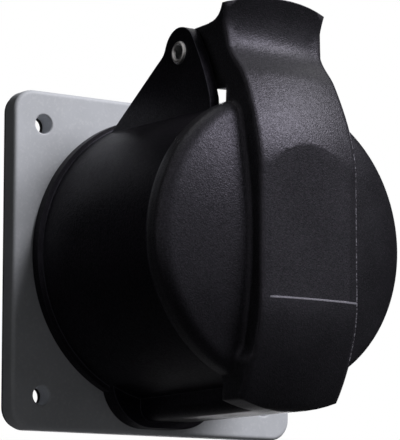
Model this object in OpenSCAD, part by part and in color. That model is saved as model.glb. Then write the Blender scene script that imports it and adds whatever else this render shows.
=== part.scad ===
// Panel-mounted power socket outlet, straight pattern, with a sprung lid.
// Each piece is modelled with the panel as its floor (x right, y up, z out of the panel)
// and stood up at the end, so that the panel is the plane y = 0 and the front faces -Y.

/* [Flange] */
// Thickness of the flange
flange_t = 4; // [3:0.25:6]
// Corner radius of the flange
flange_corner = 5; // [3:0.5:6]
// Rounding of the flange's front edge
flange_edge = 0.9; // [0.4:0.1:1.4]
// Distance between the fixing holes, both ways
hole_pitch = 60; // [58:0.5:62]
// Distance from the middle of a fixing hole to the flange's edge
hole_inset = 7.5; // [6.5:0.25:12]
// Diameter of a fixing hole
hole_d = 4.2; // [3.6:0.1:5]
// Chamfer round the mouth of a fixing hole
hole_chamfer = 0.25; // [0.15:0.05:0.6]
// Thickness of the panel gasket
gasket_t = 1.2; // [0.8:0.1:2]
// Step in from the flange's edge to the gasket's
gasket_inset = 0.4; // [0:0.1:1]
// Length of the locating ring behind the flange, from the panel's face
ring_len = 6; // [4:0.5:9]
// Wall of the locating ring
ring_wall = 1.8; // [1.4:0.1:2.2]

/* [Collar] */
// Height of the socket's axis above the middle of the flange
axis_up = 1; // [0:0.25:1.5]
// Inner radius of the collar
bore_r = 28.9; // [28.5:0.1:29.5]
// Wall of the collar at its mouth
collar_wall = 2.4; // [2:0.1:2.8]
// Growth of the collar's radius from mouth to foot
collar_draft = 0.5; // [0:0.1:0.8]
// Distance from the panel to the collar's mouth
mouth = 48; // [45:0.5:52]
// Thickness of the rim that lies on the flange
rim_t = 3; // [2:0.25:4]
// Width of the rim outside the foot of the collar
rim_w = 0.9; // [0.5:0.1:1.4]
// Chamfer of the rim
rim_chamfer = 0.7; // [0.3:0.1:1]
// Wall of the spigot that goes through the flange
spigot_wall = 2; // [1.6:0.1:2.2]
// Thickness of the shelf that stops the contact carrier
shelf_t = 3; // [2:0.25:4]
// Width of the keyway
key_w = 8.8; // [8:0.2:10]
// Depth of the keyway below the bore
key_depth = 4.4; // [4:0.1:5]
// Wall round the keyway
key_wall = 2.6; // [2:0.1:3]
// Height of the boss at the foot of the keyway
boss_t = 4.4; // [3:0.2:6]
// Half width of that boss
boss_half = 14.4; // [13:0.2:15]
// Corner radius of that boss
boss_corner = 10.5; // [6:0.5:11]
// Number of snap hooks behind the flange
hooks = 4; // [3:1:6]

/* [Hinge] */
// Height of the hinge pin above the socket's axis
pin_up = 41.5; // [41:0.25:44]
// Distance of the hinge pin from the panel
pin_out = 36.3; // [34:0.25:38]
// Diameter of the hinge pin
pin_d = 5; // [4:0.1:5.4]
// Bore of the tubular hinge pin
pin_bore = 3; // [2:0.1:3.4]
// Radius of an ear round the pin
ear_r = 5.6; // [5.2:0.1:6]
// Thickness of an ear
ear_t = 2.4; // [2:0.1:3]
// Gap between an ear and the lid's knuckle
ear_gap = 0.3; // [0.2:0.05:0.5]
// Radius of the lid's knuckle
knuckle_r = 5.1; // [4.8:0.1:5.4]
// Half length of the spring between the two knuckles
coil_half = 6.2; // [5:0.1:7]
// Diameter of the spring's wire
wire_d = 1.2; // [0.9:0.1:1.3]
// Turns of the spring
coil_turns = 8; // [6:1:9]

/* [Lid] */
// Radius of the lid's rim
lid_r = 31.6; // [31.4:0.1:32.2]
// Height of the lid's straight skirt
skirt_h = 3.4; // [2.8:0.1:4.5]
// Rise of the dome above the skirt
dome_h = 7.6; // [6.5:0.1:8.5]
// Radius of curvature of the dome
dome_r = 88; // [80:1:100]
// Rounding of the dome's outer edge
dome_edge = 6; // [4:0.25:6.5]
// Wall of the lid
lid_wall = 2.2; // [1.8:0.1:2.4]
// Width of the raised band
band_w = 25; // [23:0.5:25]
// Height of the band's crown above the dome
band_proud = 4.1; // [3:0.1:5]
// Radius of the band's crown, side to side
crown_r = 70; // [64:1:90]
// Depth of the flat label face below the crown
label_depth = 0.7; // [0.5:0.05:1.1]
// Height of the label face, which runs up to where the crown falls below it
label_h = 34; // [30:0.5:36]
// Radius of the lip that covers the keyway
lip_r = 36.2; // [35.9:0.1:36.6]
// Height of the thumb tab above the hinge pin
tab_up = 10.6; // [9:0.1:12]
// Half width of the thumb tab at its top
tab_half = 13.1; // [12:0.1:14]
// Gap between the closed lid and the collar's mouth
lid_gap = 0.3; // [0.2:0.05:0.5]
// Thickness of the lid's seal
seal_t = 2; // [1.5:0.1:2.4]

/* [Contacts] */
// Radius of the circle through the contacts
pitch_r = 15; // [14.6:0.1:15.6]
// Position of the earth contact, as an hour on a clock face
earth_hour = 7; // [6:1:12]
// Bore of a phase contact
phase_d = 6.1; // [5.9:0.05:6.3]
// Bore of the earth contact
earth_d = 8.1; // [7.9:0.05:8.3]
// Wall of a contact tube
sleeve_wall = 1.25; // [1:0.05:1.4]
// Length of the bore in a contact
sleeve_bore = 30; // [26:0.5:31]
// Distance of a contact's mouth behind the carrier's face
sleeve_back = 3; // [2.5:0.25:5]
// Width of the slots that make a contact springy
slot_w = 0.8; // [0.6:0.1:1]
// Bore for the wire in a terminal
wire_hole_d = 5.8; // [5:0.1:6]
// Thread diameter of a terminal screw
term_screw_d = 3.5; // [3:0.25:3.5]

/* [Contact carrier] */
// Radius of the carrier inside the plug's shroud
carrier_r = 26; // [25.6:0.1:26.4]
// Distance of the carrier's face behind the mouth
face_back = 6; // [5:0.25:8]
// Thickness of the carrier's face
face_t = 2.6; // [2:0.1:3]
// Wall of the carrier
carrier_wall = 2.2; // [1.8:0.1:2.6]
// Depth of the terminal block behind the panel
block_depth = 18; // [17:0.5:24]
// Radius of the terminal block behind the panel
block_rear_r = 23.5; // [23:0.1:25]
// Diameter of the screws that hold the terminal block
block_screw_d = 3; // [2.5:0.25:3.5]

/* [Fits] */
// Clearance of a fixed fit
fit = 0.2; // [0.15:0.05:0.3]
// Radial clearance of the turning fit on the hinge pin
run_fit = 0.05; // [0.03:0.01:0.08]

/* [Hidden] */
$fn = 72;
eps = 0.01;

// Collar, from the panel outwards
flange_w = hole_pitch + 2 * hole_inset;
seat = gasket_t + flange_t;
mouth_r = bore_r + collar_wall;
foot_r = mouth_r + collar_draft;
rim_r = foot_r + rim_w;
spigot_r = bore_r + 1.1;
spigot_in = spigot_r - spigot_wall;
shelf_back = seat + 0.8;
shelf_front = shelf_back + shelf_t;
shelf_r = carrier_r + 0.3;
key_bottom = bore_r + key_depth;
bulge_bottom = key_bottom + key_wall;
bulge_half = key_w / 2 + key_wall;
hook_reach = 1.2;
hook_h = 2.4;
hook_span = 16;
spigot_back = ring_len + fit / 2 + hook_h;

// Collar seal, in a groove under the rim
seal_in = spigot_r + 0.6;
seal_out = rim_r - 0.7;
collar_seal_t = 0.9;

// Hinge
pin_y = axis_up + pin_up;
pin_at = [pin_out, pin_y];
ear_in = band_w / 2 + ear_gap;
ear_out = ear_in + ear_t;
ear_foot = axis_up + sqrt(pow(bore_r + collar_wall / 2, 2) - pow(ear_out, 2));
coil_r = pin_d / 2 + wire_d + 0.1;
spring_leg_z = 9.2;

// Contact carrier and terminal block
carrier_face = mouth - face_back;
flange_back = 2;
carrier_seal_t = 1;
carrier_flange_front = shelf_back - carrier_seal_t;
carrier_flange_r = spigot_in - fit;
block_r = carrier_r - fit / 2;
shoulder_t = 2.6;
lock_t = 1.2;

// Contacts
tube_gap = 0.6;
phase_out = phase_d / 2 + sleeve_wall;
earth_out = earth_d / 2 + sleeve_wall;
sleeve_mouth = carrier_face - sleeve_back;
sleeve_floor = sleeve_mouth - sleeve_bore;
term_r_phase = wire_hole_d / 2 + 2.2;
term_r_earth = term_r_phase + 0.5;
wire_depth = block_depth - 4;
screw_rows = [-5.5, -12.5];
earth_angle = 90 - 30 * earth_hour;
clip_w = 3.2;
clip_t = 0.5;

// Block screws sit between the contacts
block_screw_angles = [earth_angle - 45, earth_angle + 135];
block_screw_at = 19;
block_head_r = block_screw_d * 1.05;
block_head_seat = -8;
block_screw_tip = 14;
post_r = block_screw_d / 2 + 1.9;

// Lid
lid_back = mouth + lid_gap;
dome_top = lid_back + skirt_h + dome_h;
dome_c = dome_top - dome_r;
band_front = dome_top + band_proud;
crown_z = band_front - crown_r;
label_face = band_front - label_depth;
label_low = axis_up - 13.3;
seal_seat = lid_back + seal_t;
seal_ring_in = bore_r - 1.4;
seal_ring_out = mouth_r - 0.4;
lid_hollow_r = seal_ring_in - 1.3;
arm_low = axis_up + lid_r + 0.6;
tab_top = pin_y + tab_up;

// Points of a circular arc
function arc(c, r, a0, a1, n) =
    [for (i = [0 : n]) c + r * [cos(a0 + (a1 - a0) * i / n), sin(a0 + (a1 - a0) * i / n)]];

// Points of a cubic curve through p[0] and p[3], pulled towards p[1] and p[2]
function curve(p, n) =
    [for (i = [0 : n]) let (t = i / n, s = 1 - t)
        s * s * s * p[0] + 3 * s * s * t * p[1] + 3 * s * t * t * p[2] + t * t * t * p[3]];

// Stands a piece up: the panel becomes the plane y = 0
module upright() rotate([90, 0, 0]) children();

// Moves to the socket's axis
module on_axis() translate([0, axis_up, 0]) children();

// Extrudes a (z, y) outline from x0 to x1
module sideways(x0, x1)
    translate([x1, 0, 0]) rotate([0, -90, 0]) linear_extrude(x1 - x0) children();

// A ring from z0 to z1
module ring(r_in, r_out, z0, z1)
    rotate_extrude() translate([r_in, z0]) square([r_out - r_in, z1 - z0]);

module disc(r, z0, z1) translate([0, 0, z0]) cylinder(r = r, h = z1 - z0);

// A rectangle with round corners, from (x0, y0) to (x1, y1)
module round_rect(x0, y0, x1, y1, r) {
    translate([x0 + r, y0]) square([x1 - x0 - 2 * r, y1 - y0]);
    translate([x0, y0 + r]) square([x1 - x0, y1 - y0 - 2 * r]);
    for (x = [x0 + r, x1 - r], y = [y0 + r, y1 - r]) translate([x, y]) circle(r);
}

// A square slab with round corners and a rounded front edge
module rounded_slab(w, h, r, edge) {
    half = w / 2;
    section = concat([[-half, 0], [half, 0]], arc([half - edge, h - edge], edge, 0, 90, 5),
        arc([edge - half, h - edge], edge, 90, 180, 5));
    for (turn = [0, 90]) rotate([90, 0, turn])
        linear_extrude(w - 2 * r, center = true) polygon(section);
    for (x = [r - half, half - r], y = [r - half, half - r]) translate([x, y, 0])
        rotate_extrude() polygon(concat([[0, 0], [r, 0]], arc([r - edge, h - edge], edge, 0, 90, 5), [[0, h]]));
}

module at_fixing_holes()
    for (x = [-1, 1], y = [-1, 1]) translate([x * hole_pitch / 2, y * hole_pitch / 2, 0]) children();

// Places children at the contact with the given number, 0 being earth, turned to face outwards
module at_contact(i) on_axis() rotate(earth_angle - 90 * i) translate([pitch_r, 0, 0]) children();

module at_block_screws() on_axis() for (a = block_screw_angles) rotate(a)
    translate([block_screw_at, 0, 0]) children();

module flange_plate() color("lightgrey") upright() difference() {
    union() {
        translate([0, 0, gasket_t]) rounded_slab(flange_w, flange_t, flange_corner, flange_edge);
        on_axis() ring(spigot_r + fit, spigot_r + fit + ring_wall, -ring_len, gasket_t + 1);
    }
    on_axis() disc(spigot_r + fit, -ring_len - 1, seat + 1);
    at_fixing_holes() {
        disc(hole_d / 2, 0, seat + 1);
        translate([0, 0, seat - hole_chamfer])
            cylinder(r1 = hole_d / 2, r2 = hole_d / 2 + hole_chamfer + eps, h = hole_chamfer + eps);
    }
}

module panel_gasket() color("dimgrey") upright() difference() {
    linear_extrude(gasket_t) difference() {
        edge = flange_w / 2 - gasket_inset;
        round_rect(-edge, -edge, edge, edge, flange_corner - gasket_inset);
        for (x = [-1, 1], y = [-1, 1]) translate([x, y] * hole_pitch / 2) circle(hole_d / 2);
    }
    on_axis() disc(spigot_r + ring_wall + 2 * fit, -1, gasket_t + 1);
}

// Outline of one ear, from the foot of the collar round the pin to the mouth
module ear_outline() {
    back = pin_at + [-8.8, -1.5];
    polygon(concat(
        [[mouth, ear_foot], [seat + rim_t, ear_foot], [seat + rim_t + 0.4, ear_foot + 1.2], back],
        curve([back, back + [2.2, 1.5], pin_at + [-ear_r - 0.4, 0], pin_at + ear_r * [cos(160), sin(160)]], 6),
        arc(pin_at, ear_r, 150, 35, 12),
        curve([pin_at + ear_r * [cos(30), sin(30)], pin_at + [7.2, -1], pin_at + [9.9, -6.5],
            [mouth - 0.4, axis_up + 30.2]], 8)));
}

module collar_outside() {
    on_axis() {
        rotate_extrude() polygon([[0, -spigot_back], [spigot_r, -spigot_back], [spigot_r, seat], [rim_r, seat],
            [rim_r, seat + rim_t - rim_chamfer], [rim_r - rim_chamfer, seat + rim_t], [foot_r, seat + rim_t],
            [mouth_r, mouth - 0.4], [mouth_r - 0.4, mouth], [0, mouth]]);
        for (i = [0 : hooks - 1])
            rotate_extrude(angle = hook_span, start = 360 * (i + 0.5) / hooks - hook_span / 2)
                polygon([[spigot_r - 1, -spigot_back], [spigot_r, -spigot_back],
                    [spigot_r + hook_reach, -spigot_back + hook_h * 0.6],
                    [spigot_r + hook_reach, -spigot_back + hook_h], [spigot_r - 1, -spigot_back + hook_h]]);
        translate([0, 0, seat]) linear_extrude(mouth - seat)
            round_rect(-bulge_half, -bulge_bottom, bulge_half, -bore_r + 3, 3);
        translate([0, 0, seat]) linear_extrude(boss_t)
            round_rect(-boss_half, -bulge_bottom - 1.4, boss_half, -bore_r + 14, boss_corner);
    }
    for (x = [-ear_out, ear_in]) sideways(x, x + ear_t) ear_outline();
}

module collar() color("black") upright() difference() {
    collar_outside();
    on_axis() {
        disc(bore_r, shelf_front, mouth + 1);
        disc(shelf_r, shelf_back - 1, shelf_front + 1);
        disc(spigot_in, -spigot_back - 1, shelf_back);
        translate([0, 0, shelf_front]) linear_extrude(mouth)
            round_rect(-key_w / 2, -key_bottom, key_w / 2, -bore_r + 4, 1);
        ring(seal_in, seal_out, seat - 1, seat + collar_seal_t);
        ring(spigot_in - 1, spigot_in + 0.9, flange_back - lock_t - fit / 2, flange_back);
        for (i = [0 : hooks - 1], side = [-1, 1])
            rotate(360 * (i + 0.5) / hooks + side * (hook_span / 2 + 2))
                translate([spigot_in - 1, -0.6, -spigot_back - 1])
                    cube([spigot_wall + 3, 1.2, spigot_back - 1]);
    }
    sideways(-ear_out - 1, ear_out + 1) translate(pin_at) circle(pin_d / 2 + 0.02);
}

module collar_seal() color("dimgrey") upright() on_axis()
    ring(seal_in + 0.1, seal_out - 0.1, seat, seat + collar_seal_t - 0.05);

// Chamber for one contact, seen from the carrier
module chamber(out, mouth_d) {
    disc(out + tube_gap, flange_back - 1, carrier_face - face_t);
    disc(mouth_d / 2 + 0.35, carrier_face - face_t - 1, carrier_face + 1);
}

module contact_carrier() color("black") upright() difference() {
    union() {
        on_axis() {
            ring(carrier_r - carrier_wall, carrier_r, flange_back, carrier_face - 0.8);
            translate([0, 0, carrier_face - face_t]) cylinder(r = carrier_r, h = face_t - 0.8);
            translate([0, 0, carrier_face - 0.8]) cylinder(r1 = carrier_r, r2 = carrier_r - 0.8, h = 0.8);
            ring(carrier_r - carrier_wall, carrier_flange_r, flange_back, carrier_flange_front);
            disc(5, flange_back, carrier_face - 1);
            for (a = [0 : 90 : 270]) rotate(earth_angle + a) translate([3, -0.8, flange_back])
                cube([carrier_r - 4, 1.6, carrier_face - flange_back - 1]);
        }
        for (i = [0 : 3]) at_contact(i)
            disc((i == 0 ? earth_out : phase_out) + tube_gap + 1.5, flange_back, carrier_face - 1);
        at_block_screws() disc(post_r, flange_back, carrier_face - 1);
    }
    for (i = [0 : 3]) at_contact(i) chamber(i == 0 ? earth_out : phase_out, i == 0 ? earth_d : phase_d);
    on_axis() disc(2.6, flange_back - 1, carrier_face - face_t);
    at_block_screws() disc(block_screw_d / 2 + 0.05, flange_back - 1, block_screw_tip + 1);
}

module carrier_seal() color("dimgrey") upright() on_axis()
    ring(shelf_r + 0.1, carrier_flange_r, carrier_flange_front, shelf_back);

// Spring ring, open at the bottom, in the groove behind the carrier's flange
module lock_ring() color("silver") upright() on_axis() difference() {
    ring(block_r + 0.6, spigot_in + 0.7, flange_back - lock_t, flange_back);
    rotate(-90) translate([block_r - 1, -5, flange_back - lock_t - 1]) cube([6, 10, lock_t + 2]);
}

module terminal_block() color("black") upright() difference() {
    on_axis() union() {
        disc(block_r, flange_back - 4, flange_back);
        disc(block_rear_r, -block_depth + 0.8, 0);
        translate([0, 0, -block_depth]) cylinder(r1 = block_rear_r - 0.8, r2 = block_rear_r, h = 0.8);
    }
    for (i = [0 : 3]) at_contact(i) {
        r = (i == 0 ? term_r_earth : term_r_phase) + 0.25;
        disc(r, -block_depth - 1, flange_back - shoulder_t + 0.1);
        disc(r + 1.1, flange_back - shoulder_t, flange_back + 1);
        for (z = screw_rows) translate([0, 0, z]) rotate([0, 90, 0]) cylinder(r = term_screw_d / 2 + 1.2, h = 20);
    }
    on_axis() {
        disc(4.6, -block_depth - 1, -4);
        for (a = [45, 225]) rotate(earth_angle + a) translate([block_screw_at - 0.5, 0, 0])
            disc(4, -block_depth - 1, -5);
    }
    at_block_screws() {
        disc(block_screw_d / 2 + fit, -block_depth - 1, flange_back + 1);
        disc(block_head_r + 0.3, -block_depth - 1, block_head_seat);
    }
}

// One contact: a slotted tube in front, a solid terminal with a wire hole behind
module contact(bore, out, term_r) difference() {
    rotate_extrude() polygon([[0, -block_depth + 1], [term_r - 0.5, -block_depth + 1],
        [term_r, -block_depth + 1.5], [term_r, flange_back - shoulder_t], [term_r + 1, flange_back - shoulder_t],
        [term_r + 1, flange_back], [out, flange_back], [out, sleeve_mouth - 0.5], [out - 0.5, sleeve_mouth],
        [0, sleeve_mouth]]);
    disc(bore / 2, sleeve_floor, sleeve_mouth + 1);
    disc(wire_hole_d / 2, -block_depth, -block_depth + 1 + wire_depth);
    for (a = [45, 135]) rotate(a) translate([-out - 1, -slot_w / 2, sleeve_mouth - sleeve_bore * 0.6])
        cube([2 * out + 2, slot_w, sleeve_bore]);
    for (z = screw_rows) translate([0, 0, z]) rotate([0, 90, 0]) cylinder(r = term_screw_d / 2, h = term_r + 1);
}

module contact_l1() color("goldenrod") upright() at_contact(1) contact(phase_d, phase_out, term_r_phase);
module contact_l2() color("goldenrod") upright() at_contact(2) contact(phase_d, phase_out, term_r_phase);
module contact_l3() color("goldenrod") upright() at_contact(3) contact(phase_d, phase_out, term_r_phase);
module contact_earth() color("goldenrod") upright() at_contact(0) contact(earth_d, earth_out, term_r_earth);

// Steel ring that presses a contact's fingers inwards
module clip_ring(out) difference() {
    ring(out + 0.02, out + clip_t, sleeve_mouth - 7 - clip_w, sleeve_mouth - 7);
    translate([0, -0.6, 0]) cube([out + 2, 1.2, sleeve_mouth]);
}

module phase_clip_rings() color("silver") upright() for (i = [1 : 3]) at_contact(i) clip_ring(phase_out);
module earth_clip_ring() color("silver") upright() at_contact(0) clip_ring(earth_out);

// Slotted set screw in a terminal, its tip just clear of the wire
module terminal_screw(term_r) rotate([0, 90, 0]) difference() {
    union() {
        disc(term_screw_d / 2 - 0.05, wire_hole_d / 2 + 0.3, term_r);
        disc(term_screw_d / 2 + 0.6, term_r, term_r + 2);
    }
    translate([-term_screw_d, -0.4, term_r + 1]) cube([2 * term_screw_d, 0.8, 2]);
}

module terminal_screws() color("silver") upright() for (i = [0 : 3], z = screw_rows)
    at_contact(i) translate([0, 0, z]) terminal_screw(i == 0 ? term_r_earth : term_r_phase);

module block_screws() color("silver") upright() at_block_screws() difference() {
    rotate_extrude() polygon([[0, block_head_seat - 2], [block_head_r - 0.5, block_head_seat - 2],
        [block_head_r, block_head_seat - 1.4], [block_head_r, block_head_seat],
        [block_screw_d / 2, block_head_seat], [block_screw_d / 2, block_screw_tip - 1.5], [0.3, block_screw_tip],
        [0, block_screw_tip]]);
    for (turn = [0, 90]) rotate(turn)
        translate([-1.8, -0.35, block_head_seat - 3]) cube([3.6, 0.7, 2.1]);
}

module hinge_pin() color("silver") upright()
    sideways(-ear_out - 0.1, ear_out + 0.1) translate(pin_at) difference() {
        circle(pin_d / 2);
        circle(pin_bore / 2);
    }

// Path of the spring's wire in (x, y, z): a leg on the collar, the coil, a leg on the lid
coil_steps = 16;
collar_leg_y = axis_up + sqrt(pow(mouth_r, 2) - pow(coil_half, 2)) + wire_d / 2 + 0.45;
function coil_point(turn) =
    [-coil_half + 2 * coil_half * turn / coil_turns, pin_y + coil_r * cos(360 * turn),
        pin_out + coil_r * sin(360 * turn)];
spring_path = concat(
    [[-coil_half, collar_leg_y, pin_out - coil_r - 4.5], [-coil_half, collar_leg_y + 1.6, pin_out - coil_r - 1.6]],
    [for (i = [coil_steps * 0.75 : coil_steps * coil_turns]) coil_point(i / coil_steps)],
    [[coil_half, pin_y + coil_r, pin_out + spring_leg_z]]);

// Sweeps a round wire along a path of points
module wire(path, d, sides) {
    last = len(path) - 1;
    function along(i) = let (v = path[min(i + 1, last)] - path[max(i - 1, 0)]) v / norm(v);
    rings = [for (i = [0 : last])
        let (t = along(i), u0 = cross(t, [0.31, 0.17, 0.94]), u = u0 / norm(u0), v = cross(t, u))
            for (k = [0 : sides - 1]) path[i] + d / 2 * (cos(360 * k / sides) * u + sin(360 * k / sides) * v)];
    polyhedron(points = rings, convexity = 10, faces = concat(
        [[for (k = [0 : sides - 1]) k]],
        [for (i = [0 : last - 1], k = [0 : sides - 1]) let (a = i * sides, n = (k + 1) % sides)
            [a + k, a + sides + k, a + sides + n, a + n]],
        [[for (k = [sides - 1 : -1 : 0]) last * sides + k]]));
}

module hinge_spring() color("silver") upright() wire(spring_path, wire_d, 8);

// Side view of the band at its middle, in (z, y): front face from lip to tab, then the arm's back
module band_outline() {
    f = band_front;
    shoulder = [f - 6.8, axis_up + 34.4];
    neck = [pin_out + 14.7, pin_y + 3.1];
    tip = [pin_out + 16.5, tab_top];
    low = [f - 7.9, axis_up - lip_r + 1.6];
    polygon(concat(
        [[lid_back, axis_up - lip_r]],
        curve([[lid_back + 3, axis_up - lip_r], [lid_back + 4.6, axis_up - lip_r], low + [-1.4, -1.8], low], 7),
        curve([low, low + [4.7, 6.1], [f - 0.1, label_low - 6.7], [f, label_low - 0.7]], 16),
        curve([[f, axis_up + 14], [f - 0.3, axis_up + 20.5], [shoulder[0] + 3, shoulder[1] - 5.4], shoulder], 26),
        curve([shoulder, shoulder + [-1.7, 3], neck + [0, -5], neck], 10),
        curve([neck, neck + [0, 2.8], tip + [-1, -2.7], tip], 6),
        curve([tip + [-1.4, 0], tip + [-2.2, -2.8], [pin_out + 12.7, pin_y + 5.6], [pin_out + 9.2, pin_y + 5.5]], 8),
        [[pin_out + 9.2, arm_low + 0.5], [lid_back + 2.2, arm_low], [lid_back + 2.2, axis_up + 27],
            [lid_back, axis_up + 26]]));
}

// Front view of the band: waisted sides, an arched tab, a lip that follows the rim
module band_front_view() {
    half = band_w / 2;
    waist = [half - 0.5, pin_y - 5.5];
    corner = [tab_half, tab_top - 1.7];
    side = concat(
        curve([[half, axis_up + 15], [half, axis_up + 25], waist + [-0.1, -5], waist], 8),
        curve([waist, waist + [0.1, 5], [half, corner[1] - 5.4], corner], 8));
    top_r = (pow(tab_half, 2) + pow(1.7, 2)) / (2 * 1.7);
    top_a = asin(tab_half / top_r);
    lip_a = asin(half / lip_r);
    polygon(concat(
        arc([0, axis_up], lip_r, -90 - lip_a, -90 + lip_a, 10),
        side,
        arc([0, tab_top - top_r], top_r, 90 - top_a, 90 + top_a, 10),
        [for (i = [len(side) - 1 : -1 : 0]) [-side[i][0], side[i][1]]]));
}

// Side view of the arm from the band back to the knuckle
module arm_outline() polygon(concat(
    arc(pin_at, knuckle_r, 90, 285, 24),
    curve([pin_at + [2, -4.9], pin_at + [4.5, -5.8], [pin_out + 7.4, arm_low + 0.5],
        [pin_out + 9.5, arm_low + 0.4]], 6),
    [[lid_back + 2, arm_low], [lid_back + 3.4, arm_low],
        [lid_back + 1.4, pin_y + 5.4], [pin_out + 9.5, pin_y + 5.5]]));

module dome(r, back, c, sphere_r, corner) {
    edge_a = asin((r - corner) / (sphere_r - corner));
    rotate_extrude() polygon(concat(
        [[0, back], [r, back]],
        arc([r - corner, c + (sphere_r - corner) * cos(edge_a)], corner, 0, 90 - edge_a, 9),
        [for (i = [1 : 14]) let (a = edge_a * (1 - i / 14)) [sphere_r * sin(a), c + sphere_r * cos(a)]]));
}

module lid() color("black") upright() difference() {
    union() {
        on_axis() dome(lid_r, lid_back, dome_c, dome_r, dome_edge);
        intersection() {
            translate([0, 0, pin_out - 10]) linear_extrude(60) band_front_view();
            union() {
                difference() {
                    translate([0, 0, crown_z]) rotate([-90, 0, 0])
                        rotate_extrude(angle = 40, start = -110, $fn = 180)
                            translate([-crown_z, 0]) band_outline();
                    translate([-band_w, -2 * lip_r, 0]) cube([2 * band_w, 2 * lip_r + arm_low, lid_back]);
                }
                sideways(-band_w / 2 - 1, band_w / 2 + 1) arm_outline();
            }
        }
    }
    // flat label face with an arched top, where the crown falls below it
    translate([-band_w, label_low, label_face]) cube([2 * band_w, label_h, 5]);
    // hollow of the dome and, inside it, of the band
    on_axis() dome(lid_hollow_r, lid_back - 1, dome_c, dome_r - lid_wall, 1.5);
    sideways(lid_wall - band_w / 2, band_w / 2 - lid_wall) translate([label_face - lid_wall, axis_up])
        polygon([[-10, -22], [-5.5, -22], [0, -13.5], [0, 12], [-5, 22.5], [-10, 22.5]]);
    // seat of the seal, with its tongue over the keyway
    on_axis() {
        ring(seal_ring_in - 0.1, seal_ring_out + 0.1, lid_back - 1, seal_seat);
        translate([0, 0, lid_back - 1]) linear_extrude(seal_t + 1)
            round_rect(-bulge_half + 0.9, -bulge_bottom + 0.9, bulge_half - 0.9, -bore_r + 1, 2);
    }
    // hinge: bore for the pin, room for the coil and for the spring's leg
    sideways(-band_w, band_w) translate(pin_at) circle(pin_d / 2 + run_fit);
    sideways(-coil_half - 0.9, coil_half + 0.9) translate(pin_at) circle(knuckle_r + 0.3);
    translate([coil_half - wire_d / 2 - 0.2, pin_y + coil_r - wire_d / 2 - 0.1, pin_out])
        cube([wire_d + 0.4, 10, spring_leg_z + 0.4]);
}

module lid_seal() color("dimgrey") upright() on_axis() difference() {
    union() {
        ring(seal_ring_in, seal_ring_out, lid_back - 0.1, seal_seat);
        translate([0, 0, lid_back - 0.1]) linear_extrude(seal_t + 0.1)
            round_rect(-bulge_half + 1, -bulge_bottom + 1, bulge_half - 1, -bore_r + 1, 2);
    }
}

flange_plate();
panel_gasket();
collar();
collar_seal();
contact_carrier();
carrier_seal();
lock_ring();
terminal_block();
contact_l1();
contact_l2();
contact_l3();
contact_earth();
phase_clip_rings();
earth_clip_ring();
terminal_screws();
block_screws();
hinge_pin();
hinge_spring();
lid();
lid_seal();
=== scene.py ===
# Panel socket with a sprung lid: finishes, soft edges, wound spring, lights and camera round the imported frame.
import bmesh
import bpy
import math
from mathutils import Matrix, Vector


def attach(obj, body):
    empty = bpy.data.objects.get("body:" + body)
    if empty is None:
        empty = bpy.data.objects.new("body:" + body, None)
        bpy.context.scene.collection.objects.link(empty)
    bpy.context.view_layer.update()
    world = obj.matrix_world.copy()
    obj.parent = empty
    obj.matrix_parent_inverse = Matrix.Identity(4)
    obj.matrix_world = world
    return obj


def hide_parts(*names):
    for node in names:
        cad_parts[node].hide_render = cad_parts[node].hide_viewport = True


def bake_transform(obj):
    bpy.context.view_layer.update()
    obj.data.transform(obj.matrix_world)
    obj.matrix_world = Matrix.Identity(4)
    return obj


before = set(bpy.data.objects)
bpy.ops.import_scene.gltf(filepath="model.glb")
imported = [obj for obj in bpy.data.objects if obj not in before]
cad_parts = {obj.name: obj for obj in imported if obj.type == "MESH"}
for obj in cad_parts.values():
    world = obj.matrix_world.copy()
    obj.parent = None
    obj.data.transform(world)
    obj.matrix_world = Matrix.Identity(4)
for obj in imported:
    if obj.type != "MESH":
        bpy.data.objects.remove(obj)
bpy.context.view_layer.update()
mm = 0.001


# camera

camera = {
    "aim": (0.0158, 0.0, 0.0131),   # middle of the view, on the panel's plane
    "azimuth": -35.12,
    "elevation": -8.37,
    "distance": 0.6078,
    "lens": 214.77,
    "sensor": 36.0,
}


def directionFrom(azimuth, elevation):
    a, e = math.radians(azimuth), math.radians(elevation)
    return Vector((math.sin(a) * math.cos(e), -math.cos(a) * math.cos(e), math.sin(e)))


def makeCamera(values):
    data = bpy.data.cameras.new("camera")
    data.lens, data.sensor_width = values["lens"], values["sensor"]
    data.clip_start, data.clip_end = 0.01, 50
    holder = bpy.data.objects.new("camera", data)
    bpy.context.scene.collection.objects.link(holder)
    back = directionFrom(values["azimuth"], values["elevation"])
    holder.rotation_mode = "QUATERNION"
    holder.location = Vector(values["aim"]) + back * values["distance"]
    holder.rotation_quaternion = (-back).to_track_quat("-Z", "Y")
    bpy.context.scene.camera = holder


makeCamera(camera)
bpy.context.scene.view_settings.view_transform = "Standard"
print("camera placed")


# node helpers

def addNode(tree, kind, **settings):
    made = tree.nodes.new(kind)
    for name, value in settings.items():
        setattr(made, name, value)
    return made


def setInputs(made, values):
    for name, value in values.items():
        made.inputs[name].default_value = value
    return made


def newGroup(name, inputs, outputs):
    group = bpy.data.node_groups.new(name, "ShaderNodeTree")
    for label, kind, value in inputs:
        socket = group.interface.new_socket(label, in_out="INPUT", socket_type=kind)
        if value is not None:
            socket.default_value = value
    for label, kind in outputs:
        group.interface.new_socket(label, in_out="OUTPUT", socket_type=kind)
    return group, addNode(group, "NodeGroupInput"), addNode(group, "NodeGroupOutput")


def useGroup(tree, group, **values):
    made = addNode(tree, "ShaderNodeGroup", node_tree=group)
    for name, value in values.items():
        made.inputs[name].default_value = value
    return made


def noiseAt(tree, vector, scale, detail, roughness=0.5):
    made = addNode(tree, "ShaderNodeTexNoise")
    setInputs(made, {"Scale": scale, "Detail": detail, "Roughness": roughness})
    tree.links.new(vector, made.inputs["Vector"])
    return made


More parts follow.
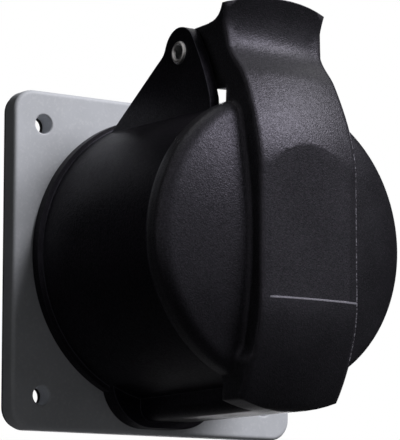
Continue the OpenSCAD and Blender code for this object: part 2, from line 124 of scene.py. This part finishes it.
def rangeOf(tree, value, low, high, outLow=0.0, outHigh=1.0):
    made = addNode(tree, "ShaderNodeMapRange", clamp=True)
    setInputs(made, {"From Min": low, "From Max": high, "To Min": outLow, "To Max": outHigh})
    tree.links.new(value, made.inputs["Value"])
    return made.outputs["Result"]


def combine(tree, operation, first, second, clamp=False):
    made = addNode(tree, "ShaderNodeMath", operation=operation, use_clamp=clamp)
    for socket, value in zip(made.inputs, (first, second)):
        if isinstance(value, (int, float)):
            socket.default_value = value
        else:
            tree.links.new(value, socket)
    return made.outputs["Value"]


def mixColours(tree, factor, first, second):
    made = addNode(tree, "ShaderNodeMix", data_type="RGBA")
    for name, value in ((0, factor), (6, first), (7, second)):
        socket = made.inputs[name]
        if hasattr(value, "is_output"):
            tree.links.new(value, socket)
        else:
            socket.default_value = value
    return made.outputs[2]


# shared effects: each gives only masks, heights and normals

edgeEffect = {"radius": 0.3 * mm, "gain": 5.0, "samples": 6}
grainEffect = {
    "scale": 2200.0,
    "fineDetail": 3.0, "fineRoughness": 0.6, "fineShare": 0.6,
    "cellScale": 0.8, "cellSmoothness": 0.6, "cellShare": 0.5,
    "speckScale": 0.85, "speckDetail": 1.0, "speckRange": (0.52, 0.72),
    "cloudScale": 90.0, "cloudDetail": 3.0, "cloudRange": (0.35, 0.7),
    "facetScale": 1.0,
}


def makeEdgeGroup(v):
    group, put, out = newGroup(
        "softEdge", [("Radius", "NodeSocketFloat", v["radius"]), ("Gain", "NodeSocketFloat", v["gain"])],
        [("Normal", "NodeSocketVector"), ("Edge", "NodeSocketFloat")])
    rounded = addNode(group, "ShaderNodeBevel", samples=v["samples"])
    group.links.new(put.outputs["Radius"], rounded.inputs["Radius"])
    geometry = addNode(group, "ShaderNodeNewGeometry")
    dot = addNode(group, "ShaderNodeVectorMath", operation="DOT_PRODUCT")
    group.links.new(rounded.outputs["Normal"], dot.inputs[0])
    group.links.new(geometry.outputs["Normal"], dot.inputs[1])
    turned = combine(group, "SUBTRACT", 1.0, dot.outputs["Value"])
    edge = combine(group, "MULTIPLY", turned, put.outputs["Gain"], clamp=True)
    group.links.new(rounded.outputs["Normal"], out.inputs["Normal"])
    group.links.new(edge, out.inputs["Edge"])
    return group


def makeGrainGroup(v):
    group, put, out = newGroup(
        "mouldGrain", [("Scale", "NodeSocketFloat", v["scale"])],
        [("Height", "NodeSocketFloat"), ("Speck", "NodeSocketFloat"), ("Cloud", "NodeSocketFloat"),
         ("Sparkle", "NodeSocketFloat")])
    where = addNode(group, "ShaderNodeTexCoord").outputs["Object"]
    scaled = addNode(group, "ShaderNodeVectorMath", operation="SCALE")
    group.links.new(where, scaled.inputs[0])
    group.links.new(put.outputs["Scale"], scaled.inputs["Scale"])
    fine = noiseAt(group, scaled.outputs[0], 1.0, v["fineDetail"], v["fineRoughness"])
    cells = addNode(group, "ShaderNodeTexVoronoi", feature="SMOOTH_F1")
    setInputs(cells, {"Scale": v["cellScale"], "Smoothness": v["cellSmoothness"]})
    group.links.new(scaled.outputs[0], cells.inputs["Vector"])
    height = combine(group, "ADD", combine(group, "MULTIPLY", fine.outputs[0], v["fineShare"]),
                     combine(group, "MULTIPLY", cells.outputs["Distance"], v["cellShare"]))
    dots = noiseAt(group, scaled.outputs[0], v["speckScale"], v["speckDetail"])
    speck = rangeOf(group, dots.outputs[0], *v["speckRange"])
    drift = noiseAt(group, where, v["cloudScale"], v["cloudDetail"])
    cloud = rangeOf(group, drift.outputs[0], *v["cloudRange"])
    facets = addNode(group, "ShaderNodeTexVoronoi", feature="F1")
    facets.inputs["Scale"].default_value = v["facetScale"]
    group.links.new(scaled.outputs[0], facets.inputs["Vector"])
    split = addNode(group, "ShaderNodeSeparateColor")
    group.links.new(facets.outputs["Color"], split.inputs[0])
    for name, socket in (("Height", height), ("Speck", speck), ("Cloud", cloud), ("Sparkle", split.outputs[0])):
        group.links.new(socket, out.inputs[name])
    return group


softEdge = makeEdgeGroup(edgeEffect)
mouldGrain = makeGrainGroup(grainEffect)


def newMaterial(name):
    made = bpy.data.materials.new(name)
    made.use_nodes = True
    tree = made.node_tree
    tree.nodes.clear()
    shader = addNode(tree, "ShaderNodeBsdfPrincipled")
    out = addNode(tree, "ShaderNodeOutputMaterial")
    tree.links.new(shader.outputs["BSDF"], out.inputs["Surface"])
    return made, tree, shader


def widerEdgeNear(tree, values):
    # edge radius that grows towards the two long edges of the lid's band
    split = addNode(tree, "ShaderNodeSeparateXYZ")
    tree.links.new(addNode(tree, "ShaderNodeTexCoord").outputs["Object"], split.inputs[0])
    across = combine(tree, "ABSOLUTE", split.outputs["X"], 0.0)
    return rangeOf(tree, across, *values["bandEdge"], values["edgeRadius"], values["bandRadius"])


def paintedGlintMask(tree, values, grain):
    # painted highlight: narrow light strips painted into the colour along two edges, broken up by the grain; boxes
    # in mm
    split = addNode(tree, "ShaderNodeSeparateXYZ")
    tree.links.new(addNode(tree, "ShaderNodeTexCoord").outputs["Object"], split.inputs[0])
    total = None
    for box in values["glints"]:
        strip = rangeOf(tree, grain.outputs["Sparkle"], box["broken"], box["broken"] + values["glintSoft"], 0, 1)
        for axis in ("X", "Y", "Z"):
            low, high = box[axis]
            offset = combine(tree, "SUBTRACT", split.outputs[axis], (low + high) / 2 * mm)
            away = combine(tree, "ABSOLUTE", offset, 0.0)
            inside = combine(tree, "LESS_THAN", away, (high - low) / 2 * mm)
            strip = combine(tree, "MULTIPLY", strip, inside)
        total = strip if total is None else combine(tree, "MAXIMUM", total, strip)
    return total


def mouldedPlastic(name, values):
    made, tree, shader = newMaterial(name)
    edge = useGroup(tree, softEdge, Radius=values["edgeRadius"], Gain=values["edgeGain"])
    if "bandRadius" in values:
        tree.links.new(widerEdgeNear(tree, values), edge.inputs["Radius"])
    grain = useGroup(tree, mouldGrain, Scale=values["grainScale"])
    base = mixColours(tree, grain.outputs["Cloud"], values["deep"], values["colour"])
    speck = combine(tree, "MULTIPLY", grain.outputs["Speck"], values["speckShare"])
    base = mixColours(tree, speck, base, values["speck"])
    # lighter colour mixed in along the edges: partly wear, partly a painted highlight on the edges
    edgeWearAndHighlight = combine(tree, "MULTIPLY", edge.outputs["Edge"], values["edgeShare"])
    base = mixColours(tree, edgeWearAndHighlight, base, values["edgeColour"])
    if "glints" in values:
        # painted highlight: the glint strips mix a light colour into the base colour
        base = mixColours(tree, paintedGlintMask(tree, values, grain), base, values["paintedGlintColour"])
    tree.links.new(base, shader.inputs["Base Color"])
    rough = combine(tree, "ADD", rangeOf(tree, grain.outputs["Cloud"], 0, 1, *values["roughness"]),
                    combine(tree, "MULTIPLY", grain.outputs["Speck"], values["speckRough"]))
    tree.links.new(rough, shader.inputs["Roughness"])
    bump = addNode(tree, "ShaderNodeBump")
    setInputs(bump, {"Strength": values["bump"], "Distance": values["bumpDepth"]})
    tree.links.new(grain.outputs["Height"], bump.inputs["Height"])
    tree.links.new(edge.outputs["Normal"], bump.inputs["Normal"])
    tree.links.new(bump.outputs["Normal"], shader.inputs["Normal"])
    low, high = (values["specular"] * (1 + way * values["sparkle"]) for way in (-1, 1))
    tree.links.new(rangeOf(tree, grain.outputs["Sparkle"], 0, 1, low, high), shader.inputs["Specular IOR Level"])
    if "tint" in values:
        shader.inputs["Specular Tint"].default_value = values["tint"]
    return made


blackFinish = {
    "deep": (0.0032, 0.0031, 0.0046, 1), "colour": (0.0056, 0.0052, 0.0072, 1),
    "speck": (0.034, 0.026, 0.036, 1), "speckShare": 0.4,
    "edgeColour": (0.07, 0.065, 0.075, 1), "edgeShare": 0.35, "edgeRadius": 0.35 * mm, "edgeGain": 5.0,
    "grainScale": 3800.0, "roughness": (0.32, 0.38), "speckRough": 0.04, "sparkle": 0.42,
    "tint": (0.86, 0.81, 1.0, 1),
    "bump": 1.0, "bumpDepth": 0.06 * mm, "specular": 0.20}
# collar: its much lighter edge colour paints a highlight line along the rim and edges; it keeps the darker black
# base, a shaded copy of the lid's plastic
blackPlastic = mouldedPlastic("blackPlastic", {
    **blackFinish, "specular": 0.09, "edgeColour": (0.15, 0.15, 0.18, 1), "edgeShare": 0.5})
lidPlastic = mouldedPlastic("lidPlastic", {
    **blackFinish, "bandEdge": (10.6 * mm, 11.8 * mm), "bandRadius": 2.0 * mm, "specular": 0.165,
    # painted light: the lid's base colour is about three times the collar's, lifting its shaded faces; lid and
    # collar are lit and shaded copies of one black plastic
    "deep": (0.0105, 0.0108, 0.0122, 1), "colour": (0.0145, 0.0147, 0.0168, 1),
    # painted highlights: light strips along the band's right edge and along the label's lower step
    "paintedGlintColour": (0.20, 0.195, 0.22, 1), "glintSoft": 0.3,
    "glints": [
        {"X": (12.15, 12.45), "Y": (-70, -50), "Z": (-26, 27), "broken": 0.5},
        {"X": (-10.6, 12.2), "Y": (-70, -50), "Z": (-12.65, -12.25), "broken": -0.2},
    ]})
greyPlastic = mouldedPlastic("greyPlastic", {
    "deep": (0.53, 0.55, 0.575, 1), "colour": (0.58, 0.60, 0.63, 1),
    "speck": (0.72, 0.73, 0.75, 1), "speckShare": 0.3,
    "edgeColour": (0.80, 0.82, 0.84, 1), "edgeShare": 0.4, "edgeRadius": 0.4 * mm, "edgeGain": 4.0,
    "grainScale": 1900.0, "roughness": (0.45, 0.55), "speckRough": 0.05, "sparkle": 0.2,
    "bump": 0.3, "bumpDepth": 0.03 * mm, "specular": 0.25})
insulator = mouldedPlastic("insulator", {
    "deep": (0.020, 0.020, 0.021, 1), "colour": (0.030, 0.030, 0.031, 1),
    "speck": (0.05, 0.05, 0.05, 1), "speckShare": 0.2,
    "edgeColour": (0.09, 0.09, 0.09, 1), "edgeShare": 0.3, "edgeRadius": 0.25 * mm, "edgeGain": 4.0,
    "grainScale": 3200.0, "roughness": (0.30, 0.38), "speckRough": 0.04, "sparkle": 0.2,
    "bump": 0.2, "bumpDepth": 0.02 * mm, "specular": 0.5})
softRubber = mouldedPlastic("softRubber", {
    "deep": (0.018, 0.018, 0.019, 1), "colour": (0.028, 0.028, 0.029, 1),
    "speck": (0.06, 0.06, 0.06, 1), "speckShare": 0.3,
    "edgeColour": (0.07, 0.07, 0.07, 1), "edgeShare": 0.2, "edgeRadius": 0.25 * mm, "edgeGain": 3.0,
    "grainScale": 1500.0, "roughness": (0.62, 0.75), "speckRough": 0.05, "sparkle": 0.2,
    "bump": 0.35, "bumpDepth": 0.04 * mm, "specular": 0.35})


turned = {
    "edgeGain": 4.0, "edgeShare": 0.4, "edgeRadius": 0.12 * mm, "bump": 0.3, "bumpDepth": 0.01 * mm,
    "lineDetail": 4.0, "lineRoughness": 0.6, "lineRange": (0.3, 0.7),
    "stainScale": 260.0, "stainDetail": 4.0, "stainRange": (0.4, 0.75),
}


def turnedMetal(name, own):
    values = {**turned, **own}
    made, tree, shader = newMaterial(name)
    edge = useGroup(tree, softEdge, Radius=values["edgeRadius"], Gain=values["edgeGain"])
    where = addNode(tree, "ShaderNodeTexCoord").outputs["Object"]
    stretch = addNode(tree, "ShaderNodeMapping")
    stretch.inputs["Scale"].default_value = values["streak"]
    tree.links.new(where, stretch.inputs["Vector"])
    lines = noiseAt(tree, stretch.outputs["Vector"], 1.0, values["lineDetail"], values["lineRoughness"]).outputs[0]
    spots = noiseAt(tree, where, values["stainScale"], values["stainDetail"])
    stain = rangeOf(tree, spots.outputs[0], *values["stainRange"])
    base = mixColours(tree, stain, values["colour"], values["stain"])
    # lighter colour mixed in along the edges: partly wear, partly a painted highlight on the edges
    edgeWearAndHighlight = combine(tree, "MULTIPLY", edge.outputs["Edge"], values["edgeShare"])
    base = mixColours(tree, edgeWearAndHighlight, base, values["edgeColour"])
    tree.links.new(base, shader.inputs["Base Color"])
    rough = rangeOf(tree, lines, *values["lineRange"], *values["roughness"])
    tree.links.new(rough, shader.inputs["Roughness"])
    bump = addNode(tree, "ShaderNodeBump")
    setInputs(bump, {"Strength": values["bump"], "Distance": values["bumpDepth"]})
    tree.links.new(lines, bump.inputs["Height"])
    tree.links.new(edge.outputs["Normal"], bump.inputs["Normal"])
    tree.links.new(bump.outputs["Normal"], shader.inputs["Normal"])
    shader.inputs["Metallic"].default_value = 1.0
    return made


platedSteel = turnedMetal("platedSteel", {
    "colour": (0.62, 0.62, 0.63, 1), "stain": (0.45, 0.45, 0.46, 1), "edgeColour": (0.8, 0.8, 0.81, 1),
    "streak": (5200, 900, 900), "roughness": (0.24, 0.42)})
dullSteel = turnedMetal("dullSteel", {
    "colour": (0.34, 0.33, 0.33, 1), "stain": (0.14, 0.13, 0.13, 1), "edgeColour": (0.6, 0.6, 0.6, 1),
    "streak": (4200, 1500, 1500), "roughness": (0.28, 0.50)})
turnedBrass = turnedMetal("turnedBrass", {
    "colour": (0.78, 0.60, 0.30, 1), "stain": (0.60, 0.43, 0.20, 1), "edgeColour": (0.9, 0.76, 0.48, 1),
    "streak": (700, 6000, 700), "roughness": (0.18, 0.34)})
print("finishes made")


# pieces taken from the frame with their edges shaded soft

def newPiece(name, mesh, material):
    made = bpy.data.objects.new(name, mesh)
    bpy.context.scene.collection.objects.link(made)
    mesh.materials.clear()
    mesh.materials.append(material)
    return made


def plainMesh(source, name):
    # result of the live modifiers as a mesh of its own
    seen = source.evaluated_get(bpy.context.evaluated_depsgraph_get())
    mesh = bpy.data.meshes.new_from_object(seen)
    mesh.name = name
    return mesh


# the dome's outer edge, tightened on the lid's moulding, clear of the band

domeEdge = {
    "axisUp": 1.0, "rim": 31.6, "lidBack": 48.3, "domeTop": 59.3, "domeRadius": 88.0,
    "modelled": 6.0, "tight": 3.2, "bandHalf": 12.5, "slack": 0.05, "bandSlack": 0.02, "turnSlack": 0.02,
}


def tightenEdge(mesh, v):
    def centre(corner):
        reach, inner = v["rim"] - corner, v["domeRadius"] - corner
        return reach, v["domeTop"] - v["domeRadius"] + math.sqrt(inner ** 2 - reach ** 2)
    oldOut, oldUp = centre(v["modelled"])
    newOut, newUp = centre(v["tight"])
    for point in mesh.vertices:
        x, out, up = point.co.x / mm, -point.co.y / mm, point.co.z / mm - v["axisUp"]
        reach = math.hypot(x, up)
        far = math.hypot(reach - oldOut, out - oldUp)
        offEdge = abs(far - v["modelled"]) > v["slack"] or reach < oldOut
        turn = math.atan2(out - oldUp, reach - oldOut)
        if offEdge or turn < -v["turnSlack"] or abs(x) < v["bandHalf"] - v["bandSlack"]:
            continue
        grown = newOut + v["tight"] * math.cos(turn)
        point.co.x = x * grown / reach * mm
        point.co.z = (up * grown / reach + v["axisUp"]) * mm
        point.co.y = -(newUp + v["tight"] * math.sin(turn)) * mm


def mergedShell(node, name, material, values):
    joined = bmesh.new()
    joined.from_mesh(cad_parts[node].data)
    bmesh.ops.remove_doubles(joined, verts=joined.verts, dist=values["merge"])
    points = [v.co[:] for v in joined.verts]
    order = {v: i for i, v in enumerate(joined.verts)}
    corners = [[order[v] for v in f.verts] for f in joined.faces]
    joined.free()
    mesh = bpy.data.meshes.new(name)
    mesh.from_pydata(points, [], corners)
    if node == "lid":
        tightenEdge(mesh, domeEdge)
    mesh.update()
    mesh.polygons.foreach_set("use_smooth", [True] * len(mesh.polygons))
    mesh.set_sharp_from_angle(angle=math.radians(values["sharp"]))
    rough = newPiece(name + "Raw", mesh, material)
    weigh = rough.modifiers.new("weigh", "WEIGHTED_NORMAL")
    weigh.keep_sharp, weigh.weight, weigh.mode = True, values["weight"], "FACE_AREA_WITH_ANGLE"
    finished = newPiece(name, plainMesh(rough, name), material)
    bpy.data.objects.remove(rough)
    return finished


shells = {
    "merge": 0.002 * mm,
    "sharp": 32,    # degrees
    "weight": 60,
    "pieces": [
        ("lid", "lidMoulding", "lid", lidPlastic, "black_plastic"),
        ("collar", "collarMoulding", "socket", blackPlastic, "black_plastic"),
        ("flange_plate", "flangeMoulding", "socket", greyPlastic, "grey_plastic"),
    ],
}
for node, name, body, material, slot in shells["pieces"]:
    shell = mergedShell(node, name, material, shells)
    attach(shell, body)
    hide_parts(node)
print("mouldings shaded")


# wound spring on the hinge pin

spring = {
    "pinUp": 42.5, "pinOut": 36.3, "coilRadius": 3.8, "coilHalf": 6.2, "turns": 8,
    "wireRadius": 0.6 * mm, "stepsPerTurn": 28, "wireSides": 14, "spacing": 0.25 * mm,
    "collarLeg": (32.73, 8.3), "collarKink": (34.33, 5.4), "lidLeg": 9.2, "firstTurn": 0.75,
    "blendHalf": 5.8 * mm,
}


def springPath(v):
    def placed(x, up, out):
        return Vector((x, -out, up)) * mm
    points = [placed(-v["coilHalf"], v["collarLeg"][0], v["pinOut"] - v["collarLeg"][1]),
              placed(-v["coilHalf"], v["collarKink"][0], v["pinOut"] - v["collarKink"][1])]
    first, last = int(v["stepsPerTurn"] * v["firstTurn"]), v["stepsPerTurn"] * v["turns"]
    for i in range(first, last + 1):
        t = i / v["stepsPerTurn"]
        points.append(placed(-v["coilHalf"] + 2 * v["coilHalf"] * t / v["turns"],
                             v["pinUp"] + v["coilRadius"] * math.cos(2 * math.pi * t),
                             v["pinOut"] + v["coilRadius"] * math.sin(2 * math.pi * t)))
    points.append(placed(v["coilHalf"], v["pinUp"] + v["coilRadius"], v["pinOut"] + v["lidLeg"]))
    return points


def geometryTree(name, source, inputs, result):
    tree = bpy.data.node_groups.new(name, "GeometryNodeTree")
    for label, kind in ((source, "NodeSocketGeometry"), *inputs):
        tree.interface.new_socket(label, in_out="INPUT", socket_type=kind)
    tree.interface.new_socket(result, in_out="OUTPUT", socket_type="NodeSocketGeometry")
    return tree, addNode(tree, "NodeGroupInput"), addNode(tree, "NodeGroupOutput")


def meshFromNodes(holder, tree, inputs, name, material):
    # runs the node tree on the holder and keeps only the mesh that it makes
    ids = {s.name: s.identifier for s in tree.interface.items_tree if s.in_out == "INPUT"}
    run = holder.modifiers.new(tree.name, "NODES")
    run.node_group = tree
    for label, value in inputs.items():
        run[ids[label]] = value
    made = newPiece(name, plainMesh(holder, name), material)
    bpy.data.objects.remove(holder)
    return made


def wireTree(material):
    tree, put, out = geometryTree("wireAlongPath", "Path", (
        ("Wire radius", "NodeSocketFloat"), ("Sides", "NodeSocketInt"), ("Spacing", "NodeSocketFloat")), "Wire")
    even = addNode(tree, "GeometryNodeResampleCurve", mode="LENGTH")
    ring = addNode(tree, "GeometryNodeCurvePrimitiveCircle", mode="RADIUS")
    sweep = addNode(tree, "GeometryNodeCurveToMesh")
    sweep.inputs["Fill Caps"].default_value = True
    smooth = addNode(tree, "GeometryNodeSetShadeSmooth")
    real = addNode(tree, "GeometryNodeRealizeInstances")
    paint = addNode(tree, "GeometryNodeSetMaterial")
    paint.inputs["Material"].default_value = material
    join = tree.links.new
    join(put.outputs["Path"], even.inputs["Curve"])
    join(put.outputs["Spacing"], even.inputs["Length"])
    join(put.outputs["Sides"], ring.inputs["Resolution"])
    join(put.outputs["Wire radius"], ring.inputs["Radius"])
    join(even.outputs["Curve"], sweep.inputs["Curve"])
    join(ring.outputs["Curve"], sweep.inputs["Profile Curve"])
    join(sweep.outputs["Mesh"], smooth.inputs["Geometry"])
    join(smooth.outputs["Geometry"], real.inputs["Geometry"])
    join(real.outputs["Geometry"], paint.inputs["Geometry"])
    join(paint.outputs["Geometry"], out.inputs["Wire"])
    return tree


def windSpring(v):
    data = bpy.data.curves.new("springPath", "CURVE")
    data.dimensions = "3D"
    points = springPath(v)
    spline = data.splines.new("POLY")
    spline.points.add(len(points) - 1)
    for point, at in zip(spline.points, points):
        point.co = (*at, 1)
    path = bpy.data.objects.new("springPath", data)
    bpy.context.scene.collection.objects.link(path)
    return meshFromNodes(path, wireTree(platedSteel), {
        "Wire radius": v["wireRadius"], "Sides": v["wireSides"], "Spacing": v["spacing"]}, "springWire", platedSteel)


springWire = windSpring(spring)
hingeAt = (-spring["pinOut"] * mm, spring["pinUp"] * mm)
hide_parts("hinge_spring")
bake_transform(springWire)
print("spring wound")


# rolled rims on the two ends of the tubular hinge pin

rims = {"pinHalf": 15.25 * mm, "pathRadius": 2.0 * mm, "rimRadius": 0.5 * mm, "turnSides": 48, "rimSides": 12}


def rimTree(material):
    tree, put, out = geometryTree("rolledRims", "Ends", (
        ("Path radius", "NodeSocketFloat"), ("Rim radius", "NodeSocketFloat"),
        ("Turn sides", "NodeSocketInt"), ("Rim sides", "NodeSocketInt")), "Rims")
    path = addNode(tree, "GeometryNodeCurvePrimitiveCircle", mode="RADIUS")
    ring = addNode(tree, "GeometryNodeCurvePrimitiveCircle", mode="RADIUS")
    sweep = addNode(tree, "GeometryNodeCurveToMesh")
    turn = addNode(tree, "GeometryNodeTransform")
    turn.inputs["Rotation"].default_value = (0, math.pi / 2, 0)
    place = addNode(tree, "GeometryNodeInstanceOnPoints")
    real = addNode(tree, "GeometryNodeRealizeInstances")
    smooth = addNode(tree, "GeometryNodeSetShadeSmooth")
    paint = addNode(tree, "GeometryNodeSetMaterial")
    paint.inputs["Material"].default_value = material
    join = tree.links.new
    join(put.outputs["Path radius"], path.inputs["Radius"])
    join(put.outputs["Turn sides"], path.inputs["Resolution"])
    join(put.outputs["Rim radius"], ring.inputs["Radius"])
    join(put.outputs["Rim sides"], ring.inputs["Resolution"])
    join(path.outputs["Curve"], sweep.inputs["Curve"])
    join(ring.outputs["Curve"], sweep.inputs["Profile Curve"])
    join(sweep.outputs["Mesh"], turn.inputs["Geometry"])
    join(put.outputs["Ends"], place.inputs["Points"])
    join(turn.outputs["Geometry"], place.inputs["Instance"])
    join(place.outputs["Instances"], real.inputs["Geometry"])
    join(real.outputs["Geometry"], smooth.inputs["Geometry"])
    join(smooth.outputs["Geometry"], paint.inputs["Geometry"])
    join(paint.outputs["Geometry"], out.inputs["Rims"])
    return tree


def rollRims(v):
    ends = bpy.data.meshes.new("pinEnds")
    ends.from_pydata([(side * v["pinHalf"], *hingeAt) for side in (-1, 1)], [], [])
    holder = bpy.data.objects.new("pinEnds", ends)
    bpy.context.scene.collection.objects.link(holder)
    return meshFromNodes(holder, rimTree(dullSteel), {
        "Path radius": v["pathRadius"], "Rim radius": v["rimRadius"],
        "Turn sides": v["turnSides"], "Rim sides": v["rimSides"]}, "pinRims", dullSteel)


pinRims = rollRims(rims)
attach(pinRims, "socket")
print("pin rims rolled")


# finishes of the pieces that stay as the frame has them

finishes = {
    "panel_gasket": softRubber, "collar_seal": softRubber, "carrier_seal": softRubber, "lid_seal": softRubber,
    "contact_carrier": insulator, "terminal_block": insulator,
    "contact_l1": turnedBrass, "contact_l2": turnedBrass, "contact_l3": turnedBrass, "contact_earth": turnedBrass,
    "lock_ring": platedSteel, "phase_clip_rings": platedSteel, "earth_clip_ring": platedSteel,
    "terminal_screws": platedSteel, "block_screws": platedSteel, "hinge_pin": platedSteel,
}
for node, material in finishes.items():
    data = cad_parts[node].data
    data.materials.clear()
    data.materials.append(material)
print("finishes given")


# lights, floor and background

lights = {
    "aim": (0.0, -0.03, 0.0), "ambient": 0.02,
    "lamps": {
        "frontLamp": {"toward": (0.30, -0.72, 0.62), "distance": 0.75, "size": (0.24, 0.20), "watts": 4.1},
        "backLamp": {"toward": (0.50, 0.85, 0.12), "distance": 0.45, "size": (0.30, 0.30), "watts": 1.4},
        "topLamp": {"toward": (0.57, -0.46, 0.68), "distance": 0.70, "size": (0.24, 0.20), "watts": 2.3},
    },
    "colour": (0.97, 0.96, 1.0),
}


def makeLight(name, values):
    data = bpy.data.lights.new(name, "AREA")
    data.shape, data.size, data.size_y = "RECTANGLE", *values["size"]
    data.energy, data.color = values["watts"], lights["colour"]
    lamp = bpy.data.objects.new(name, data)
    bpy.context.scene.collection.objects.link(lamp)
    toward = Vector(values["toward"]).normalized()
    lamp.location = Vector(lights["aim"]) + toward * values["distance"]
    lamp.rotation_mode = "QUATERNION"
    lamp.rotation_quaternion = (-toward).to_track_quat("-Z", "Y")


for name, values in lights["lamps"].items():
    makeLight(name, values)


def seenRays(tree):
    # 1 for camera, glossy and transmission rays
    path = addNode(tree, "ShaderNodeLightPath")
    shown = combine(tree, "MAXIMUM", path.outputs["Is Camera Ray"], path.outputs["Is Glossy Ray"])
    return combine(tree, "MAXIMUM", shown, path.outputs["Is Transmission Ray"])


def makeWorld(ambient):
    world = bpy.data.worlds.new("studio")
    bpy.context.scene.world = world
    world.use_nodes = True
    tree = world.node_tree
    tree.nodes.clear()
    back = addNode(tree, "ShaderNodeBackground")
    back.inputs["Color"].default_value = (1, 1, 1, 1)
    out = addNode(tree, "ShaderNodeOutputWorld")
    tree.links.new(rangeOf(tree, seenRays(tree), 0, 1, ambient, 1.0), back.inputs["Strength"])
    tree.links.new(back.outputs["Background"], out.inputs["Surface"])


makeWorld(lights["ambient"])


def plainSheet(name, corners, material):
    mesh = bpy.data.meshes.new(name)
    mesh.from_pydata(corners, [], [(0, 1, 2, 3)])
    made = newPiece(name, mesh, material)
    return made


def floorFinish(shown, unseen):
    # pale to the camera, dark to every other ray, so that the floor throws little light up
    made, tree, shader = newMaterial("paleFloor")
    where = addNode(tree, "ShaderNodeTexCoord").outputs["Object"]
    drift = rangeOf(tree, noiseAt(tree, where, 3.0, 2.0).outputs[0], 0.3, 0.7, 0.97, 1.0)
    cameraRay = addNode(tree, "ShaderNodeLightPath").outputs["Is Camera Ray"]
    tone = combine(tree, "MULTIPLY", drift, rangeOf(tree, cameraRay, 0, 1, unseen, shown))
    tree.links.new(tone, shader.inputs["Base Color"])
    shader.inputs["Roughness"].default_value = 0.8
    return made


def darkCardFinish():
    made, tree, shader = newMaterial("darkCard")
    shader.inputs["Base Color"].default_value = (0.004, 0.004, 0.004, 1)
    shader.inputs["Roughness"].default_value = 1.0
    shader.inputs["Specular IOR Level"].default_value = 0.0
    return made


studio = {
    "floorDown": -0.16, "floorHalf": 2.0, "floorShown": 0.82, "floorUnseen": 0.05,
    "cards": {
        "leftCard": [(-0.30, 0.15, -0.15), (-0.30, 0.55, -0.15), (-0.30, 0.55, 0.6), (-0.30, 0.15, 0.6)],
        "rightCard": [(0.50, -0.40, -0.15), (0.50, 0.55, -0.15), (0.50, 0.55, 0.45), (0.50, -0.40, 0.45)],
        "backCard": [(-0.30, 0.55, -0.15), (0.45, 0.55, -0.15), (0.45, 0.55, 0.75), (-0.30, 0.55, 0.75)],
    },
}
down, half = studio["floorDown"], studio["floorHalf"]
plainSheet("floor", [(-half, -half, down), (half, -half, down), (half, half, down), (-half, half, down)],
           floorFinish(studio["floorShown"], studio["floorUnseen"]))
cardFinish = darkCardFinish()
for name, corners in studio["cards"].items():   # black cards beside and behind, as a studio has them
    plainSheet(name, corners, cardFinish).visible_camera = False
print("lights and floor set")
